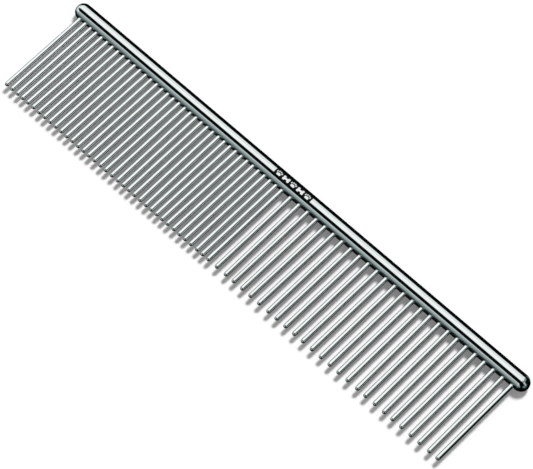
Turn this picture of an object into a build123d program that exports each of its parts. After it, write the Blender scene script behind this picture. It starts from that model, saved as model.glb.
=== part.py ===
from build123d import *
from math import radians, tan
import os

# Steel grooming comb: a solid round spine bar with full-round ends, and two
# sets of plain wire teeth pressed into blind sockets along one side of it.
# One half of the comb has closely spaced teeth and the other half has widely
# spaced teeth. A small ornament is engraved on the bar and filled with enamel.
#
# Frame, in millimetres: X runs along the spine, fine teeth at -X and coarse
# teeth at +X. The teeth point to -Y. Z is up, and the comb lies level with the
# underside of its spine on Z = 0. The origin is the centre of the footprint.

# ---------------------------------------------------------------- dimensions
overall_length = 190.5  # 7 1/2 inch over the rounded ends
spine_dia = 5.6  # round bar
tooth_dia = 1.5  # round wire
tooth_reach = 35.35  # spine axis to the end of a tooth's round tip

fine_count = 37
coarse_count = 26
fine_pitch = 2.455
coarse_pitch = 3.62  # also the step from the last fine to the first coarse tooth
first_tooth_from_end = 3.85  # left end of the bar to the first tooth's axis

socket_past_axis = 1.0  # full-diameter depth of a socket beyond the bar's axis
drill_half_angle = 59.0  # half of the included angle of the socket's drilled end
tooth_seat_gap = 0.1  # tooth's inner end to the shoulder of the drill point
tooth_end_chamfer = 0.15  # lead-in on the tooth's inner end

engraving_depth = 0.12
panel_length = 15.2  # enamelled panel round the ornament
panel_height = 2.2
panel_corner = 0.5
ornament_step = 2.95  # between neighbouring motifs
ornament_x = -0.8  # middle of the ornament along the bar
ornament_y = 0.08  # its offset from the bar's top line, towards the back

# ------------------------------------------------------------------- derived
spine_r = spine_dia / 2
tooth_r = tooth_dia / 2
half_length = overall_length / 2

# The footprint runs from the tips to the back of the bar, and Y = 0 is halfway.
axis_y = (tooth_reach - spine_r) / 2
axis_z = spine_r
tip_y = axis_y - tooth_reach
socket_depth = spine_r + socket_past_axis
tooth_inner_y = axis_y + socket_past_axis - tooth_seat_gap

first_x = -half_length + first_tooth_from_end
fine_x = [first_x + fine_pitch * i for i in range(fine_count)]
coarse_x = [fine_x[-1] + coarse_pitch * (i + 1) for i in range(coarse_count)]
all_x = fine_x + coarse_x

spine_axis = Axis((0, axis_y, axis_z), (1, 0, 0))
# Faces the teeth's side, tangent to the bar, with its X along the bar.
socket_plane = Plane(
    origin=(0, axis_y - spine_r, axis_z), x_dir=(1, 0, 0), z_dir=(0, -1, 0)
)

os.makedirs("parts", exist_ok=True)

# ------------------------------------------------- ornament, the enamel infill
# A filled panel with three paw prints and two bones left standing in it as bare
# metal, laid out flat and then cut to the curved skin of the bar, so that the
# enamel finishes flush with it.
paw_x = [ornament_x + k * ornament_step for k in (-2, 0, 2)]
bone_x = [ornament_x + k * ornament_step for k in (-1, 1)]
motif_y = axis_y + ornament_y

with BuildPart() as mark_enamel:
    with BuildSketch(Plane.XY.offset(axis_z + spine_r + 0.5)):
        with Locations((ornament_x, motif_y + 0.06)):
            RectangleRounded(panel_length, panel_height, panel_corner)
        # main pad of each paw
        with Locations(*[(x, motif_y - 0.42) for x in paw_x]):
            Ellipse(x_radius=0.74, y_radius=0.50, mode=Mode.SUBTRACT)
        # inner toes
        with Locations(
            *[(x + side * 0.33, motif_y + 0.70) for x in paw_x for side in (-1, 1)]
        ):
            Ellipse(x_radius=0.235, y_radius=0.35, mode=Mode.SUBTRACT)
        # outer toes
        with Locations(
            *[(x + side * 0.88, motif_y + 0.30) for x in paw_x for side in (-1, 1)]
        ):
            Ellipse(x_radius=0.225, y_radius=0.32, mode=Mode.SUBTRACT)
        # bones: a bar with two lobes at each end
        with Locations(*[(x, motif_y) for x in bone_x]):
            Rectangle(2.0, 0.66, mode=Mode.SUBTRACT)
        with Locations(
            *[
                (x + side * 0.86, motif_y + up * 0.38)
                for x in bone_x
                for side in (-1, 1)
                for up in (-1, 1)
            ]
        ):
            Circle(0.45, mode=Mode.SUBTRACT)
    extrude(amount=-2.5)
    with BuildSketch(Plane.YZ.offset(-12)):
        with Locations((axis_y, axis_z)):
            Circle(spine_r)
            Circle(spine_r - engraving_depth, mode=Mode.SUBTRACT)
    extrude(amount=24, mode=Mode.INTERSECT)

mark_enamel.part.label = "mark_enamel"

# ------------------------------------------------------------------ spine bar
with BuildPart() as spine_bar:
    # half outline of a bar with full-round ends, turned about the bar's axis
    with BuildSketch(Plane.XY.offset(axis_z)):
        with BuildLine():
            straight = half_length - spine_r
            Line((-half_length, axis_y), (half_length, axis_y))
            RadiusArc(
                (half_length, axis_y), (straight, axis_y + spine_r), -spine_r
            )
            Line((straight, axis_y + spine_r), (-straight, axis_y + spine_r))
            RadiusArc(
                (-straight, axis_y + spine_r), (-half_length, axis_y), -spine_r
            )
        make_face()
    revolve(axis=spine_axis)

    # blind tooth sockets, each with a drilled cone at its end
    cone_height = tooth_r / tan(radians(drill_half_angle))
    with Locations(socket_plane):
        with Locations(*[(x, 0) for x in all_x]):
            Hole(radius=tooth_r, depth=socket_depth)
    with Locations(socket_plane.offset(-socket_depth)):
        with Locations(*[(x, 0) for x in all_x]):
            Cone(
                bottom_radius=tooth_r,
                top_radius=0,
                height=cone_height,
                rotation=(180, 0, 0),
                align=(Align.CENTER, Align.CENTER, Align.MIN),
                mode=Mode.SUBTRACT,
            )

    # engraved recess for the enamel
    add(mark_enamel.part, mode=Mode.SUBTRACT)

spine_bar.part.label = "spine_bar"


# ---------------------------------------------------------------------- teeth
def tooth_set(label, stations):
    """Straight round teeth at the given X stations, each a separate solid."""
    with BuildPart() as teeth:
        for x in stations:
            # half outline: chamfered inner end, straight shank, full-round tip
            with BuildSketch(Plane.XY.offset(axis_z)):
                with BuildLine():
                    shank_end = tip_y + tooth_r
                    Polyline(
                        (x, tip_y),
                        (x, tooth_inner_y),
                        (x + tooth_r - tooth_end_chamfer, tooth_inner_y),
                        (x + tooth_r, tooth_inner_y - tooth_end_chamfer),
                        (x + tooth_r, shank_end),
                    )
                    RadiusArc((x + tooth_r, shank_end), (x, tip_y), tooth_r)
                make_face()
            revolve(axis=Axis((x, 0, axis_z), (0, 1, 0)))
    teeth.part.label = label
    return teeth.part


named_parts = {"spine_bar": spine_bar.part, "mark_enamel": mark_enamel.part}

# every fine tooth has a node of its own
for i, x in enumerate(fine_x, start=1):
    name = f"fine_tooth_{i:02d}"
    named_parts[name] = tooth_set(name, [x])

# identical coarse teeth share a node in neighbouring pairs, as separate solids
for i in range(0, coarse_count, 2):
    name = f"coarse_teeth_{i + 1:02d}_{i + 2:02d}"
    named_parts[name] = tooth_set(name, coarse_x[i : i + 2])

for name, shape in named_parts.items():
    export_step(shape, f"parts/{name}.step")

print(len(named_parts), "nodes,", fine_count + coarse_count, "teeth")
print("spine axis at Y", axis_y, "Z", axis_z, "tips at Y", tip_y)
print("first tooth X", all_x[0], "last tooth X", all_x[-1])
print("spine volume", spine_bar.part.volume, "tooth volume", named_parts["fine_tooth_01"].volume)
print("enamel volume", mark_enamel.part.volume, "solids", len(mark_enamel.part.solids()))
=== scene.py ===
import math
import random

import bpy
from mathutils import Matrix, Vector


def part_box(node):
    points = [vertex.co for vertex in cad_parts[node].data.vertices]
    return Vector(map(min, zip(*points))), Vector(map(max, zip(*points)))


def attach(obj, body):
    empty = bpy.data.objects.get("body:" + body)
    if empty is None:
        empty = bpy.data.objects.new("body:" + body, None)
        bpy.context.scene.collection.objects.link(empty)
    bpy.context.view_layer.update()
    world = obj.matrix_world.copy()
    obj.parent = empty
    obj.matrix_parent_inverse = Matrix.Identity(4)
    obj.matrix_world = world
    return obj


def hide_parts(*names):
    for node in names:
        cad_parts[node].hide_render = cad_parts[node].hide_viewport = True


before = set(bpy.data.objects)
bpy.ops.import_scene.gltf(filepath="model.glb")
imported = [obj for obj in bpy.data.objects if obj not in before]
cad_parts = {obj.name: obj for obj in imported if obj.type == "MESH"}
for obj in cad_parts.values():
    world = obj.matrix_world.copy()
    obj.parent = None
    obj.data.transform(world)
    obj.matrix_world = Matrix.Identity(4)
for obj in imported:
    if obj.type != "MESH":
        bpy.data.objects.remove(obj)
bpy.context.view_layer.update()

# ------------------------------------------------------------------ dimensions
# The sizes of the real pieces. The frame's boxes give every place, and the frame's
# meshes are a little coarser than these sizes.
MM = 0.001
R = 2.8 * MM  # spine bar
TR = 0.75 * MM  # wire
spine_lo, spine_hi = (Vector(c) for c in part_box("spine_bar"))
HALF = (spine_hi.x - spine_lo.x) / 2
AXIS_Y = spine_hi.y - R
AXIS_Z = spine_hi.z - R
tooth_lo, tooth_hi = (Vector(c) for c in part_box("fine_tooth_01"))
TIP_Y = tooth_lo.y
INNER_Y = tooth_hi.y

fine_nodes = ["fine_tooth_%02d" % i for i in range(1, 38)]
coarse_nodes = ["coarse_teeth_%02d_%02d" % (i, i + 1) for i in range(1, 27, 2)]
stations = []  # (node, x of each tooth)
for name in fine_nodes:
    lo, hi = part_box(name)
    stations.append((name, [(lo[0] + hi[0]) / 2]))
for name in coarse_nodes:
    lo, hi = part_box(name)
    middle, apart = (lo[0] + hi[0]) / 2, (hi[0] - lo[0]) - 2 * TR
    stations.append((name, [middle - apart / 2, middle + apart / 2]))
all_x = [x for _, xs in stations for x in xs]

rnd = random.Random(7)


# ------------------------------------------------------------------- materials
def new_material(name):
    m = bpy.data.materials.new(name)
    m.use_nodes = True
    nt = m.node_tree
    nt.nodes.clear()
    return m, nt


def node(nt, kind, **props):
    n = nt.nodes.new(kind)
    for k, v in props.items():
        if k.startswith("in_"):
            n.inputs[int(k[3:]) if k[3:].isdigit() else k[3:].replace("_", " ")].default_value = v
        else:
            setattr(n, k, v)
    return n


def chrome(name, tint, rough_lo, rough_hi, hatch, scratch, along="X"):
    """Bright chrome plate: slight cloudiness, fine polishing lines, hair scratches."""
    m, nt = new_material(name)
    L = nt.links.new
    out = node(nt, "ShaderNodeOutputMaterial")
    bsdf = node(nt, "ShaderNodeBsdfPrincipled")
    bsdf.inputs["Metallic"].default_value = 1.0
    bsdf.inputs["Specular IOR Level"].default_value = 0.5
    L(bsdf.outputs[0], out.inputs["Surface"])
    tc = node(nt, "ShaderNodeTexCoord")

    # cloudy plating: slow change of tint and roughness
    cloud = node(nt, "ShaderNodeTexNoise", noise_dimensions="3D")
    cloud.inputs["Scale"].default_value = 260.0
    cloud.inputs["Detail"].default_value = 4.0
    cloud.inputs["Roughness"].default_value = 0.55
    L(tc.outputs["Object"], cloud.inputs["Vector"])
    tintramp = node(nt, "ShaderNodeValToRGB")
    tintramp.color_ramp.elements[0].position = 0.30
    tintramp.color_ramp.elements[1].position = 0.72
    tintramp.color_ramp.elements[0].color = tuple(0.93 * c for c in tint) + (1,)
    tintramp.color_ramp.elements[1].color = tuple(tint) + (1,)
    L(cloud.outputs["Fac"], tintramp.inputs["Fac"])

    # polishing lines: noise stretched along the piece, and a finer set across
    m1 = node(nt, "ShaderNodeMapping")
    m1.inputs["Scale"].default_value = (160, 9000, 9000) if along == "X" else (9000, 160, 9000)
    L(tc.outputs["Object"], m1.inputs["Vector"])
    lines = node(nt, "ShaderNodeTexNoise", noise_dimensions="3D")
    lines.inputs["Scale"].default_value = 1.0
    lines.inputs["Detail"].default_value = 3.0
    L(m1.outputs[0], lines.inputs["Vector"])
    m2 = node(nt, "ShaderNodeMapping")
    m2.inputs["Rotation"].default_value = (0.0, 0.0, math.radians(24))
    m2.inputs["Scale"].default_value = (6500, 420, 420) if along == "X" else (420, 6500, 420)
    L(tc.outputs["Object"], m2.inputs["Vector"])
    across = node(nt, "ShaderNodeTexNoise", noise_dimensions="3D")
    across.inputs["Scale"].default_value = 1.0
    across.inputs["Detail"].default_value = 2.0
    L(m2.outputs[0], across.inputs["Vector"])
    both = node(nt, "ShaderNodeMath", operation="ADD")
    L(lines.outputs["Fac"], both.inputs[0])
    L(across.outputs["Fac"], both.inputs[1])

    # roughness follows the cloud and the lines
    rsum = node(nt, "ShaderNodeMath", operation="MULTIPLY_ADD")
    L(both.outputs[0], rsum.inputs[0])
    rsum.inputs[1].default_value = 0.5
    L(cloud.outputs["Fac"], rsum.inputs[2])
    rmap = node(nt, "ShaderNodeMapRange")
    rmap.inputs["From Min"].default_value = 0.65
    rmap.inputs["From Max"].default_value = 1.35
    rmap.inputs["To Min"].default_value = rough_lo
    rmap.inputs["To Max"].default_value = rough_hi
    L(rsum.outputs[0], rmap.inputs["Value"])
    L(rmap.outputs[0], bsdf.inputs["Roughness"])

    # sparse hair scratches: thin bright-dark ridges of a sharp voronoi
    m3 = node(nt, "ShaderNodeMapping")
    m3.inputs["Rotation"].default_value = (math.radians(11), math.radians(7), math.radians(31))
    m3.inputs["Scale"].default_value = (140, 2200, 2200) if along == "X" else (2200, 140, 2200)
    L(tc.outputs["Object"], m3.inputs["Vector"])
    vor = node(nt, "ShaderNodeTexVoronoi", voronoi_dimensions="3D", feature="DISTANCE_TO_EDGE")
    vor.inputs["Scale"].default_value = 0.5
    L(m3.outputs[0], vor.inputs["Vector"])
    vr = node(nt, "ShaderNodeMapRange")
    vr.inputs["From Min"].default_value = 0.0
    vr.inputs["From Max"].default_value = 0.03
    vr.inputs["To Min"].default_value = 0.0
    vr.inputs["To Max"].default_value = 1.0
    L(vor.outputs["Distance"], vr.inputs["Value"])

    hsum = node(nt, "ShaderNodeMath", operation="MULTIPLY")
    L(both.outputs[0], hsum.inputs[0])
    hsum.inputs[1].default_value = hatch
    hall = node(nt, "ShaderNodeMath", operation="MULTIPLY_ADD")
    L(vr.outputs[0], hall.inputs[0])
    hall.inputs[1].default_value = scratch
    L(hsum.outputs[0], hall.inputs[2])
    bump = node(nt, "ShaderNodeBump")
    bump.inputs["Strength"].default_value = 1.0
    bump.inputs["Distance"].default_value = 1.0 * MM
    L(hall.outputs[0], bump.inputs["Height"])
    L(bump.outputs[0], bsdf.inputs["Normal"])
    L(tintramp.outputs[0], bsdf.inputs["Base Color"])
    return m


mat_spine = chrome("chrome_bar", (0.905, 0.925, 0.925), 0.025, 0.06, 0.0003, 0.0004, "X")
# the fine wires get a brighter tint than the coarse wires, to paint a brighter highlight on the fine teeth: a lit copy
# of the same wire chrome
mat_fine_painted_brighter = chrome("chrome_fine_wire", (0.920, 0.940, 0.940), 0.05, 0.10, 0.0002, 0.0003, "Y")
mat_coarse = chrome("chrome_coarse_wire", (0.880, 0.900, 0.900), 0.045, 0.09, 0.0002, 0.0003, "Y")


def enamel_material():
    """Black filling paint: fine grain, slightly sunken and uneven gloss."""
    m, nt = new_material("black_filling")
    L = nt.links.new
    out = node(nt, "ShaderNodeOutputMaterial")
    bsdf = node(nt, "ShaderNodeBsdfPrincipled")
    L(bsdf.outputs[0], out.inputs["Surface"])
    tc = node(nt, "ShaderNodeTexCoord")
    grain = node(nt, "ShaderNodeTexNoise", noise_dimensions="3D")
    grain.inputs["Scale"].default_value = 5200.0
    grain.inputs["Detail"].default_value = 5.0
    L(tc.outputs["Object"], grain.inputs["Vector"])
    ramp = node(nt, "ShaderNodeValToRGB")
    ramp.color_ramp.elements[0].position = 0.35
    ramp.color_ramp.elements[1].position = 0.70
    ramp.color_ramp.elements[0].color = (0.002, 0.0022, 0.0022, 1)
    ramp.color_ramp.elements[1].color = (0.009, 0.0095, 0.010, 1)
    L(grain.outputs["Fac"], ramp.inputs["Fac"])
    L(ramp.outputs[0], bsdf.inputs["Base Color"])
    rr = node(nt, "ShaderNodeMapRange")
    rr.inputs["To Min"].default_value = 0.42
    rr.inputs["To Max"].default_value = 0.66
    L(grain.outputs["Fac"], rr.inputs["Value"])
    L(rr.outputs[0], bsdf.inputs["Roughness"])
    bump = node(nt, "ShaderNodeBump")
    bump.inputs["Strength"].default_value = 0.6
    bump.inputs["Distance"].default_value = 0.01 * MM
    L(grain.outputs["Fac"], bump.inputs["Height"])
    L(bump.outputs[0], bsdf.inputs["Normal"])
    bsdf.inputs["Specular IOR Level"].default_value = 0.12
    return m


mat_enamel = enamel_material()


# ---------------------------------------------------------------------- meshes
class Shell:
    """A closed mesh in the making: shared points, and a normal at each face's corner."""

    def __init__(self):
        self.points, self.faces, self.corner_normals = [], [], []

    def point(self, p):
        self.points.append(tuple(p))
        return len(self.points) - 1

    def face(self, indices, normals):
        """The corners may come either way round: the normals say which side is out."""
        pts = [Vector(self.points[i]) for i in indices]
        newell = Vector((0, 0, 0))
        for a, b in zip(pts, pts[1:] + pts[:1]):
            newell += a.cross(b)
        total = Vector((0, 0, 0))
        for n in normals:
            total += Vector(n).normalized()
        indices, normals = list(indices), list(normals)
        if newell.dot(total) < 0:
            indices.reverse()
            normals.reverse()
        self.faces.append(indices)
        self.corner_normals += [tuple(Vector(n).normalized()) for n in normals]

    def object(self, name, material):
        used = sorted({i for f in self.faces for i in f})
        place = {i: k for k, i in enumerate(used)}
        self.points = [self.points[i] for i in used]
        self.faces = [tuple(place[i] for i in f) for f in self.faces]
        me = bpy.data.meshes.new(name)
        me.from_pydata(self.points, [], self.faces)
        me.update()
        me.polygons.foreach_set("use_smooth", [True] * len(me.polygons))
        me.normals_split_custom_set(self.corner_normals)
        me.materials.append(material)
        ob = bpy.data.objects.new(name, me)
        bpy.context.scene.collection.objects.link(ob)
        return ob


# --- one tooth: a lathed wire with a full-round tip and a chamfered inner end --
SEG = 40
TIP_RINGS = 12
T_LEN = INNER_Y - TIP_Y
CHAMFER = 0.15 * MM
SHANK_STEPS = 20


def tooth_shell(shell, x, lean_x, lean_z):
    """A tooth at x. The leans are slopes, from the point where it leaves the bar."""

    def place(s, u, w):
        y = TIP_Y + s
        lever = max(0.0, (AXIS_Y - R) - y)
        return shell.point((x + u + lean_x * lever, y, AXIS_Z + w + lean_z * lever))

    turns = [2 * math.pi * (k + 0.5) / SEG for k in range(SEG)]
    # (distance from the tip, radius) of each ring, and (along, radial) normals of
    # the band between it and the ring before, at both of the band's edges
    rings, bands = [], []
    for k in range(1, TIP_RINGS + 1):
        a, a0 = math.pi / 2 * k / TIP_RINGS, math.pi / 2 * (k - 1) / TIP_RINGS
        rings.append((TR - TR * math.cos(a), TR * math.sin(a)))
        bands.append(((-math.cos(a0), math.sin(a0)), (-math.cos(a), math.sin(a))))
    for k in range(1, SHANK_STEPS + 1):
        rings.append((TR + (T_LEN - TR - CHAMFER) * k / SHANK_STEPS, TR))
        bands.append(((0, 1), (0, 1)))
    rings.append((T_LEN, TR - CHAMFER))
    bands.append(((0.7071, 0.7071), (0.7071, 0.7071)))

    def normal(band_edge, t):
        along, radial = band_edge
        return (radial * math.cos(t), along, radial * math.sin(t))

    pole = place(0.0, 0.0, 0.0)
    before = None
    for (s, r), (n0, n1) in zip(rings, bands):
        ring = [place(s, r * math.cos(t), r * math.sin(t)) for t in turns]
        for k in range(SEG):
            k2 = (k + 1) % SEG
            t, t2 = turns[k], turns[k2]
            if before is None:
                shell.face((pole, ring[k], ring[k2]), ((0, -1, 0), normal(n1, t), normal(n1, t2)))
            else:
                shell.face(
                    (before[k], ring[k], ring[k2], before[k2]),
                    (normal(n0, t), normal(n1, t), normal(n1, t2), normal(n0, t2)),
                )
        before = ring
    shell.face(tuple(reversed(before)), [(0, 1, 0)] * SEG)


# sideways lean of each tooth, in ten-thousandths, from the fine end
LEANS = [
    52, 40, 53, -27, -42, -55, -14, -17, -29, -19, -18, -13, -18, 27, 4, -32,
    -7, 33, 3, 51, 106, 76, 49, 44, 68, 83, 42, 2, -31, -61, -21, -9,
    -23, -28, 38, -2, 13, 7, 71, -33, -45, -101, -84, -18, -84, -55, -57, -78,
    -53, -33, -23, -28, -4, 81, -6, 37, 78, -2, -25, 16, -7, 55, -40,
]

lean_of = iter(LEANS)
for name, xs in stations:
    shell = Shell()
    for x in xs:
        tooth_shell(shell, x, next(lean_of) * 1e-4, rnd.uniform(-0.0015, 0.0015))
    ob = shell.object(name + "_wire", mat_fine_painted_brighter if name in fine_nodes else mat_coarse)
    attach(ob, "root")
    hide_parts(name)


# --- the ornament's outlines, seen from above: paws and bones -----------------
def ellipse(cx, cy, rx, ry, n):
    return [(cx + rx * math.cos(2 * math.pi * k / n), cy + ry * math.sin(2 * math.pi * k / n)) for k in range(n)]


def rounded(cx, cy, w, h, r, n):
    pts = []
    for qx, qy, start in ((1, 1, 0), (-1, 1, 90), (-1, -1, 180), (1, -1, 270)):
        for k in range(n + 1):
            t = math.radians(start + 90 * k / n)
            pts.append((cx + qx * (w / 2 - r) + r * math.cos(t), cy + qy * (h / 2 - r) + r * math.sin(t)))
    return pts


STEP = 2.95 * MM
ORN_X = -0.8 * MM  # middle of the ornament
ORN_Y = 0.08 * MM  # its offset from the bar's top line
ORN_HALF = 7.9 * MM
# the first outline is the filled panel, the others are left standing in it
panel = rounded(ORN_X, ORN_Y + 0.06 * MM, 15.2 * MM, 2.2 * MM, 0.5 * MM, 8)
straight_steps = []
for p, q in zip(panel, panel[1:] + panel[:1]):
    parts = max(1, int(math.hypot(q[0] - p[0], q[1] - p[1]) / (0.22 * MM)))
    straight_steps += [(p[0] + (q[0] - p[0]) * k / parts, p[1] + (q[1] - p[1]) * k / parts) for k in range(parts)]
outlines = [straight_steps]
for px in (ORN_X - 2 * STEP, ORN_X, ORN_X + 2 * STEP):
    outlines.append(ellipse(px, ORN_Y - 0.42 * MM, 0.74 * MM, 0.50 * MM, 48))
    for side in (-1, 1):
        outlines.append(ellipse(px + side * 0.33 * MM, ORN_Y + 0.70 * MM, 0.235 * MM, 0.35 * MM, 30))
        outlines.append(ellipse(px + side * 0.88 * MM, ORN_Y + 0.30 * MM, 0.225 * MM, 0.32 * MM, 30))
for px in (ORN_X - STEP, ORN_X + STEP):
    a, b = 1.0 * MM, 0.33 * MM
    outlines.append([(px - a, ORN_Y - b), (px + a, ORN_Y - b), (px + a, ORN_Y + b), (px - a, ORN_Y + b)])
    for side in (-1, 1):
        for up in (-1, 1):
            outlines.append(ellipse(px + side * 0.86 * MM, ORN_Y + up * 0.38 * MM, 0.45 * MM, 0.45 * MM, 34))

DEPTH = 0.12 * MM  # of the engraving
SUNK = 0.014 * MM  # the filling's surface lies this far under the bar's skin


# --- the spine bar ------------------------------------------------------------
N_STRIP = 8  # cells across the square round each socket
N_REST = 150  # cells round the rest of the bar
CAP = 30
RIM = 0.045 * MM  # softened edge where a tooth enters


def skin_point(x, phi):
    return (x, AXIS_Y + R * math.sin(phi), AXIS_Z + R * math.cos(phi))


def radial(phi):
    return (0.0, math.sin(phi), math.cos(phi))


def spine_and_filling():
    shell, filling = Shell(), Shell()
    straight = HALF - R
    half_gap = TR + 0.12 * MM  # keeps the end sockets' squares off the round ends
    strip_phi = math.asin(half_gap / R)  # half angle of the strip that holds the sockets
    strip = [-math.pi / 2 - strip_phi + 2 * strip_phi * k / N_STRIP for k in range(N_STRIP + 1)]
    rest = [strip[-1] + (2 * math.pi - 2 * strip_phi) * k / N_REST for k in range(N_REST + 1)]
    ring = strip[:-1] + rest[:-1]  # angles once round, from the top towards the back
    n_ring = len(ring)
    first_rest = N_STRIP  # ring index where the strip ends

    # wide columns: the bar's ends and both sides of each socket's square
    wide = [-straight]
    for x in all_x:
        wide += [x - half_gap, x + half_gap]
    wide.append(straight)
    cols = [[shell.point(skin_point(x, p)) for p in ring] for x in wide]
    # fine columns inside each square, on the strip only
    fine = {}
    for s, x in enumerate(all_x):
        i = 1 + 2 * s
        table = [[cols[i][j % n_ring] for j in range(N_STRIP + 1)]]
        for k in range(1, N_STRIP):
            xk = wide[i] + (wide[i + 1] - wide[i]) * k / N_STRIP
            edge = {}
            for j in (0, N_STRIP):
                edge[j] = shell.point(skin_point(xk, strip[j]))
            table.append([edge.get(j) for j in range(N_STRIP + 1)])
        table.append([cols[i + 1][j % n_ring] for j in range(N_STRIP + 1)])
        fine[i] = table

    # the window that holds the ornament
    top = [j for j in range(n_ring) if abs(math.remainder(ring[j], 2 * math.pi)) < math.radians(37)]
    j_lo, j_hi = top[0], top[-1]
    i_lo = max(i for i, x in enumerate(wide) if x < ORN_X - ORN_HALF)
    i_hi = min(i for i, x in enumerate(wide) if x > ORN_X + ORN_HALF)

    for i in range(len(wide) - 1):
        square = i in fine
        for j in range(n_ring):
            if i_lo <= i < i_hi and j_lo <= j < j_hi:
                continue
            if square and j < N_STRIP:
                continue
            j2 = (j + 1) % n_ring
            low = [cols[i][j], cols[i + 1][j]]  # along X, at angle j
            high = [cols[i][j2], cols[i + 1][j2]]
            if square and j == first_rest:
                low = [fine[i][k][N_STRIP] for k in range(N_STRIP + 1)]
            if square and j2 == 0:
                high = [fine[i][k][0] for k in range(N_STRIP + 1)]
            n1, n2 = radial(ring[j]), radial(ring[j2])
            shell.face(low + high[::-1], [n1] * len(low) + [n2] * len(high))

    # round ends
    for side in (-1, 1):
        prev = cols[0] if side < 0 else cols[-1]
        a0 = 0.0
        for k in range(1, CAP):
            a = math.pi / 2 * k / CAP
            new = [
                shell.point(
                    (
                        side * (straight + R * math.sin(a)),
                        AXIS_Y + R * math.cos(a) * math.sin(p),
                        AXIS_Z + R * math.cos(a) * math.cos(p),
                    )
                )
                for p in ring
            ]

            def nrm(a, p):
                return (side * math.sin(a), math.cos(a) * math.sin(p), math.cos(a) * math.cos(p))

            for j in range(n_ring):
                j2 = (j + 1) % n_ring
                q = [(prev[j], nrm(a0, ring[j])), (new[j], nrm(a, ring[j])), (new[j2], nrm(a, ring[j2])), (prev[j2], nrm(a0, ring[j2]))]
                if side < 0:
                    q.reverse()
                shell.face([v for v, _ in q], [n for _, n in q])
            prev, a0 = new, a
        pole = shell.point((side * HALF, AXIS_Y, AXIS_Z))
        for j in range(n_ring):
            j2 = (j + 1) % n_ring
            q = [(prev[j], nrm(a0, ring[j])), (pole, (side, 0, 0)), (prev[j2], nrm(a0, ring[j2]))]
            if side < 0:
                q.reverse()
            shell.face([v for v, _ in q], [n for _, n in q])

    # sockets: from the square's edge in to a softened rim, the wall, the drilled end
    depth_y = INNER_Y + 0.1 * MM
    cone = TR / math.tan(math.radians(59))
    for s, x0 in enumerate(all_x):
        i = 1 + 2 * s
        table = fine[i]
        loop = [(k, 0) for k in range(N_STRIP)]
        loop += [(N_STRIP, k) for k in range(N_STRIP)]
        loop += [(N_STRIP - k, N_STRIP) for k in range(N_STRIP)]
        loop += [(0, N_STRIP - k) for k in range(N_STRIP)]
        outer, offs = [], []
        for k, j in loop:
            outer.append(table[k][j])
            dx = (wide[i] + (wide[i + 1] - wide[i]) * k / N_STRIP) - x0
            dz = R * math.cos(strip[j])
            offs.append((dx, dz, math.atan2(dz, dx)))
        n = len(outer)
        r_out = TR + RIM

        def skin_n(pz):
            return (0.0, -math.sqrt(R * R - pz * pz), pz)

        def band(a_ring, a_n, b_ring, b_n):
            for k in range(n):
                k2 = (k + 1) % n
                shell.face((a_ring[k], b_ring[k], b_ring[k2], a_ring[k2]), (a_n[k], b_n[k], b_n[k2], a_n[k2]))

        prev, prev_n = outer, [skin_n(dz) for _, dz, _ in offs]
        for f in (0.34, 0.68, 1.0):
            new, new_n = [], []
            for dx, dz, t in offs:
                px = dx + (r_out * math.cos(t) - dx) * f
                pz = dz + (r_out * math.sin(t) - dz) * f
                new.append(shell.point((x0 + px, AXIS_Y - math.sqrt(R * R - pz * pz), AXIS_Z + pz)))
                new_n.append(skin_n(pz))
            band(prev, prev_n, new, new_n)
            prev, prev_n = new, new_n
        for k in (1, 2, 3):
            a = math.pi / 2 * k / 3
            rr, inset = r_out - RIM * math.sin(a), RIM * (1 - math.cos(a))
            new, new_n = [], []
            for dx, dz, t in offs:
                zz = r_out * math.sin(t)
                y = -math.sqrt(R * R - zz * zz) + inset
                new.append(shell.point((x0 + rr * math.cos(t), AXIS_Y + y, AXIS_Z + rr * math.sin(t))))
                new_n.append(Vector(skin_n(zz)).normalized() * math.cos(a) + Vector((-math.cos(t), 0, -math.sin(t))) * math.sin(a))
            band(prev, prev_n, new, new_n)
            prev, prev_n = new, new_n
        wall_n = [(-math.cos(t), 0, -math.sin(t)) for _, _, t in offs]
        bottom = [shell.point((x0 + TR * math.cos(t), depth_y, AXIS_Z + TR * math.sin(t))) for _, _, t in offs]
        band(prev, wall_n, bottom, wall_n)
        tip = shell.point((x0, depth_y + cone, AXIS_Z))
        for k in range(n):
            k2 = (k + 1) % n
            t1, t2 = offs[k][2], offs[k2][2]
            c = (-math.cos(t1) - math.cos(t2), -3.3, -math.sin(t1) - math.sin(t2))
            shell.face((bottom[k], tip, bottom[k2]), (c, c, c))

    # the window: triangles between its edge, the outlines and a net of points
    from mathutils.geometry import delaunay_2d_cdt

    pts, handle = [], []
    def plan(x, phi):
        return (x, R * math.sin(phi))
    for i in range(i_lo, i_hi + 1):
        for j in range(j_lo, j_hi + 1):
            if i in (i_lo, i_hi) or j in (j_lo, j_hi):
                pts.append(plan(wide[i], ring[j]))
                handle.append(cols[i][j])
    edge_loop_count = len(pts)
    near = [Vector(p) for o in outlines for p in o]
    from mathutils.kdtree import KDTree
    tree = KDTree(len(near))
    for k, p in enumerate(near):
        tree.insert((p.x, p.y, 0), k)
    tree.balance()
    x = wide[i_lo] + 0.12 * MM
    while x < wide[i_hi] - 0.1 * MM:
        for j in range(j_lo + 1, j_hi):
            p = plan(x, ring[j])
            if tree.find((p[0], p[1], 0))[2] > 0.045 * MM:
                pts.append(p)
                handle.append(None)
        x += 0.21 * MM
    in_faces = []
    for o in outlines:
        start = len(pts)
        pts += o
        handle += [None] * len(o)
        in_faces.append(list(range(start, start + len(o))))
    scale = 1000.0
    verts, _, tris, orig_v, _, orig_f = delaunay_2d_cdt([Vector((p[0] * scale, p[1] * scale)) for p in pts], [], in_faces, 0, 1e-5)
    index_top = []
    for v, o in zip(verts, orig_v):
        keep = [handle[k] for k in o if handle[k] is not None]
        if keep:
            index_top.append(keep[0])
        else:
            y = v.y / scale
            index_top.append(shell.point((v.x / scale, AXIS_Y + y, AXIS_Z + math.sqrt(R * R - y * y))))
    plan_y = [v.y / scale for v in verts]

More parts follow.
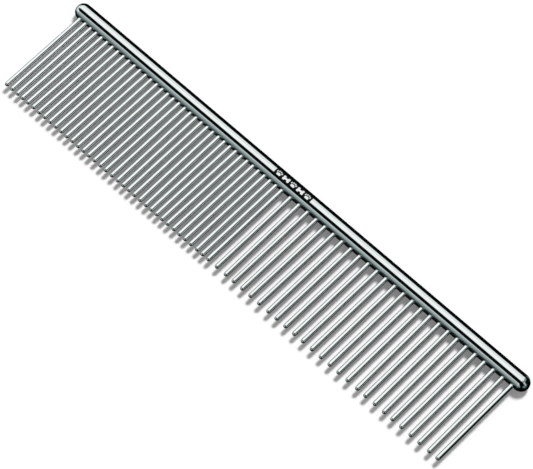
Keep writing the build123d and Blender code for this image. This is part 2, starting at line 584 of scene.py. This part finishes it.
    def up_n(y):
        return (0.0, y, math.sqrt(R * R - y * y))

    floor_i, fill_top, fill_low = {}, {}, {}
    rf, rs = R - DEPTH, R - SUNK

    def get(store, sh, k, rad):
        if k not in store:
            y = plan_y[k]
            store[k] = sh.point((verts[k].x / scale, AXIS_Y + y, AXIS_Z + math.sqrt(rad * rad - y * y)))
        return store[k]

    inside = [list(o) == [0] for o in orig_f]  # in the panel, and in nothing that stands in it
    directed = {}
    for t, (tri, ins) in enumerate(zip(tris, inside)):
        for k in range(len(tri)):
            directed[(tri[k], tri[(k + 1) % len(tri)])] = ins
    for tri, ins in zip(tris, inside):
        tri = list(tri)
        ns = [up_n(plan_y[k]) for k in tri]
        if not ins:
            shell.face([index_top[k] for k in tri], ns)
            continue
        shell.face([get(floor_i, shell, k, rf) for k in tri], ns)
        filling.face([get(fill_top, filling, k, rs) for k in tri], ns)
        filling.face([get(fill_low, filling, k, rf) for k in reversed(tri)], [tuple(-c for c in up_n(plan_y[k])) for k in reversed(tri)])
    for (a, b), ins in directed.items():
        if ins and directed.get((b, a)) is False:
            # a, b runs with the inside on its left; the wall looks into the recess
            pa, pb = verts[a], verts[b]
            inward = Vector((-(pb.y - pa.y), pb.x - pa.x, 0)).normalized()
            shell.face((index_top[b], index_top[a], get(floor_i, shell, a, rf), get(floor_i, shell, b, rf)), [inward] * 4)
            filling.face((get(fill_top, filling, a, rs), get(fill_low, filling, a, rf), get(fill_low, filling, b, rf), get(fill_top, filling, b, rs)), [-inward] * 4)
    return shell.object("spine_bar_chromed", mat_spine), filling.object("engraving_filling", mat_enamel)


spine, filling = spine_and_filling()
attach(spine, "root")
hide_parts("spine_bar")
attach(filling, "root")
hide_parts("mark_enamel")

# ----------------------------------------------------------------------- stage
floor_me = bpy.data.meshes.new("floor")
S = 3.0
floor_me.from_pydata([(-S, -S, 0), (S, -S, 0), (S, S, 0), (-S, S, 0)], [], [(0, 1, 2, 3)])
floor = bpy.data.objects.new("floor", floor_me)
bpy.context.scene.collection.objects.link(floor)
fm, nt = new_material("studio_white")
out = node(nt, "ShaderNodeOutputMaterial")
dif = node(nt, "ShaderNodeBsdfDiffuse")
dif.inputs["Color"].default_value = (0.90, 0.90, 0.90, 1)
nt.links.new(dif.outputs[0], out.inputs["Surface"])
floor_me.materials.append(fm)
floor.visible_glossy = False

# the key: a broad soft sun, high up behind the comb
key_data = bpy.data.lights.new("key", "SUN")
key_data.angle = math.radians(14.5)
key_data.energy = 2.75
key = bpy.data.objects.new("key", key_data)
bpy.context.scene.collection.objects.link(key)
key_from = Vector((-0.064, 0.540, 1.0)).normalized()  # towards the light
key.rotation_euler = key_from.to_track_quat("Z", "Y").to_euler()
key.visible_glossy = False


# --------------------------------------------------------- studio surroundings
def build_world():
    w = bpy.data.worlds.new("studio")
    bpy.context.scene.world = w
    w.use_nodes = True
    nt = w.node_tree
    nt.nodes.clear()
    L = nt.links.new
    out = node(nt, "ShaderNodeOutputWorld")
    tc = node(nt, "ShaderNodeTexCoord")
    sep = node(nt, "ShaderNodeSeparateXYZ")
    L(tc.outputs["Generated"], sep.inputs[0])

    def math2(op, a, b=None, clamp=False):
        n = node(nt, "ShaderNodeMath", operation=op, use_clamp=clamp)
        for i, v in enumerate((a, b)):
            if v is None:
                continue
            if isinstance(v, (int, float)):
                n.inputs[i].default_value = v
            else:
                L(v, n.inputs[i])
        return n.outputs[0]

    X, Y, Z = sep.outputs[0], sep.outputs[1], sep.outputs[2]

    def ramp(v, lo, hi, stops):
        """Levels 0..1 (linear) at the given stops of v, with straight lines between."""
        mr = node(nt, "ShaderNodeMapRange")
        mr.inputs["From Min"].default_value = lo
        mr.inputs["From Max"].default_value = hi
        L(v, mr.inputs["Value"])
        r = node(nt, "ShaderNodeValToRGB")
        cr = r.color_ramp
        cr.interpolation = "LINEAR"
        while len(cr.elements) > 1:
            cr.elements.remove(cr.elements[-1])
        for k, (at, lev) in enumerate(stops):
            pos = (at - lo) / (hi - lo)
            if k == 0:
                e = cr.elements[0]
                e.position = pos
            else:
                e = cr.elements.new(pos)
            e.color = (lev, lev, lev, 1)
        L(mr.outputs[0], r.inputs["Fac"])
        return r.outputs[0]

    def angle_ramp(v, stops):
        """v is an angle in radians, the stops are in degrees."""
        return ramp(v, -math.pi, math.pi, [(math.radians(d), lev) for d, lev in stops])

    def across_ramp(stops):
        return ramp(X, -1.0, 1.0, stops)

    a = math2("ARCTAN2", Y, Z)  # tilt to the back
    b = math2("ARCTAN2", X, Z)  # tilt to the right
    # the level directions that a tooth's shank mirrors to the camera lie in this band
    wires = math2("LESS_THAN", math2("ABSOLUTE", math2("SUBTRACT", Y, 0.30)), 0.07)
    others = math2("SUBTRACT", 1.0, wires)
    # the big softbox overhead, to the left and behind
    box_a = angle_ramp(a, [(-9.5, 0), (-6.5, 1), (8, 1), (59, 0.86), (62, 0)])
    box_b = angle_ramp(b, [(-69, 0), (-63, 1), (9, 1), (15, 0.85), (22, 0.71), (28, 0.47), (35, 0.18), (48, 0.05), (80, 0.0)])
    box_ends = angle_ramp(b, [(-104, 0), (-96, 1), (5, 1), (13, 0.85), (16, 0.33), (42, 0.28), (46, 0.0)])
    side = math2("ADD", math2("MULTIPLY", box_b, wires), math2("MULTIPLY", box_ends, others))
    box = math2("MULTIPLY", box_a, side)
    # weak fill in front of the bar
    front_a = angle_ramp(
        a,
        [
            (-131, 0.002), (-124, 0.004), (-114.5, 0.014), (-106, 0.040), (-98, 0.092), (-91, 0.168), (-84, 0.255),
            (-77, 0.325), (-70, 0.35), (-63.5, 0.39), (-57, 0.50), (-50, 0.60), (-48.5, 0.60), (-46.5, 0.0),
        ],
    )
    in_front = math2("GREATER_THAN", math2("MULTIPLY", Y, -1.0), 0.05)
    # brighter past the left end, and cut off in a rounded tip past the right end
    bulge = math2("MULTIPLY", math2("POWER", math2("ABSOLUTE", math2("DIVIDE", math2("ADD", a, 1.5), 0.63)), 2.0), 0.45)
    tip = ramp(math2("ADD", X, bulge), -2.0, 2.0, [(0.46, 1.0), (0.54, 0.0)])
    tip = math2("MAXIMUM", tip, math2("LESS_THAN", X, -0.10))
    # seen again in a neighbouring piece, the fill is weaker and has no tip
    lp = node(nt, "ShaderNodeLightPath")
    once = math2("LESS_THAN", lp.outputs["Glossy Depth"], 1.5)
    again = math2("MULTIPLY", math2("SUBTRACT", 1.0, once), math2("MULTIPLY", math2("LESS_THAN", X, 0.06), 0.6))
    tip = math2("ADD", math2("MULTIPLY", tip, once), again)
    sideways = across_ramp([(-0.95, 0.5), (-0.8, 1.0), (-0.6, 0.8), (-0.48, 0.5), (-0.12, 0.5), (-0.08, 0.7), (0.06, 0.7), (0.30, 0.45)])
    front = math2("MULTIPLY", math2("MULTIPLY", front_a, 2.0), math2("MULTIPLY", in_front, math2("MULTIPLY", sideways, tip)))
    # the pale floor's reflection in the far side of the bar
    back_a = angle_ramp(a, [(78, 0.0), (90, 0.05), (112, 0.14), (135, 0.26), (158, 0.36), (172, 0.30), (180, 0.10)])
    behind = math2("MULTIPLY", back_a, across_ramp([(-0.13, 0.0), (-0.09, 1.0), (0.09, 1.0), (0.13, 0.0)]))
    behind = math2("MULTIPLY", behind, math2("GREATER_THAN", Y, 0.42))
    # left side panel, seen as a thin line down each tooth
    left = math2("MULTIPLY", math2("LESS_THAN", X, -0.88), 0.38)
    glow = math2("ADD", math2("ADD", math2("MULTIPLY", box, math2("ADD", 0.87, math2("MULTIPLY", wires, 0.23))), front), math2("MULTIPLY", left, math2("SUBTRACT", 1.0, box)))
    glow = math2("ADD", glow, behind)

    # pale wall far to the right, for a look along the bar from its left end
    wall_a = angle_ramp(a, [(-140, 0.05), (-9.5, 0.09), (-6.5, 0.55), (35, 0.50), (59, 0.42), (62, 0.06), (180, 0.05)])
    glow = math2("ADD", glow, math2("MULTIPLY", others, math2("MULTIPLY", wall_a, ramp(X, -1.0, 1.0, [(0.885, 0.0), (0.925, 1.0)]))))

    # two small lamps to the right, low down
    def lamp(direction, inner, outer, level):
        d = Vector(direction).normalized()
        dot = node(nt, "ShaderNodeVectorMath", operation="DOT_PRODUCT")
        L(tc.outputs["Generated"], dot.inputs[0])
        dot.inputs[1].default_value = d
        mr = node(nt, "ShaderNodeMapRange")
        mr.inputs["From Min"].default_value = math.cos(math.radians(outer))
        mr.inputs["From Max"].default_value = math.cos(math.radians(inner))
        mr.inputs["To Max"].default_value = level
        L(dot.outputs["Value"], mr.inputs["Value"])
        return math2("MULTIPLY", mr.outputs[0], others)

    glow = math2("ADD", glow, lamp((0.78, 0.06, 0.62), 7, 15, 0.55))
    glow = math2("ADD", glow, lamp((0.945, -0.327, 0.027), 6, 20, 0.13))

    # colour of the reflections: nearly white in the lights, teal-grey in the dark
    tone = node(nt, "ShaderNodeValToRGB")
    tone.color_ramp.elements[0].position = 0.0
    tone.color_ramp.elements[0].color = (0.0016, 0.0023, 0.0021, 1)
    tone.color_ramp.elements[1].position = 1.0
    tone.color_ramp.elements[1].color = (0.975, 1.0, 0.99, 1)
    for pos, ratio in ((0.05, 0.62), (0.3, 0.77)):
        e = tone.color_ramp.elements.new(pos)
        e.color = (ratio * pos, pos, 0.985 * pos, 1)
    L(glow, tone.inputs["Fac"])
    bg_gloss = node(nt, "ShaderNodeBackground")
    bg_gloss.inputs["Strength"].default_value = 1.10
    L(tone.outputs[0], bg_gloss.inputs["Color"])

    bg_amb = node(nt, "ShaderNodeBackground")
    bg_amb.inputs["Color"].default_value = (1, 1, 1, 1)
    bg_amb.inputs["Strength"].default_value = 0.38
    bg_cam = node(nt, "ShaderNodeBackground")
    bg_cam.inputs["Color"].default_value = (1, 1, 1, 1)
    bg_cam.inputs["Strength"].default_value = 0.97
    # light that the chrome throws on to the floor counts as ambient light
    direct_view = math2("MULTIPLY", lp.outputs["Is Glossy Ray"], math2("LESS_THAN", lp.outputs["Diffuse Depth"], 0.5))
    mix1 = node(nt, "ShaderNodeMixShader")
    L(direct_view, mix1.inputs[0])
    L(bg_amb.outputs[0], mix1.inputs[1])
    L(bg_gloss.outputs[0], mix1.inputs[2])
    mix2 = node(nt, "ShaderNodeMixShader")
    L(lp.outputs["Is Camera Ray"], mix2.inputs[0])
    L(mix1.outputs[0], mix2.inputs[1])
    L(bg_cam.outputs[0], mix2.inputs[2])
    L(mix2.outputs[0], out.inputs["Surface"])


build_world()

# ---------------------------------------------------------------------- camera
cam_data = bpy.data.cameras.new("camera")
cam_data.sensor_fit = "HORIZONTAL"
cam_data.sensor_width = 36.0
cam_data.lens = 198.740
cam_data.clip_start = 0.05
cam_data.clip_end = 20.0
cam = bpy.data.objects.new("camera", cam_data)
bpy.context.scene.collection.objects.link(cam)
right = Vector((0.7177274, 0.6959219, -0.0236670))
down = Vector((0.6151527, -0.6496204, -0.4467444))
fwd = Vector((-0.3262737, 0.3060818, -0.8943486))
rot = Matrix((right, -down, -fwd)).transposed().to_4x4()
cam.matrix_world = Matrix.Translation((0.294851, -0.289555 + AXIS_Y, 0.797356 + AXIS_Z)) @ rot
bpy.context.scene.camera = cam
bpy.context.scene.view_settings.view_transform = "Standard"
bpy.context.scene.view_settings.look = "None"

bpy.context.view_layer.update()
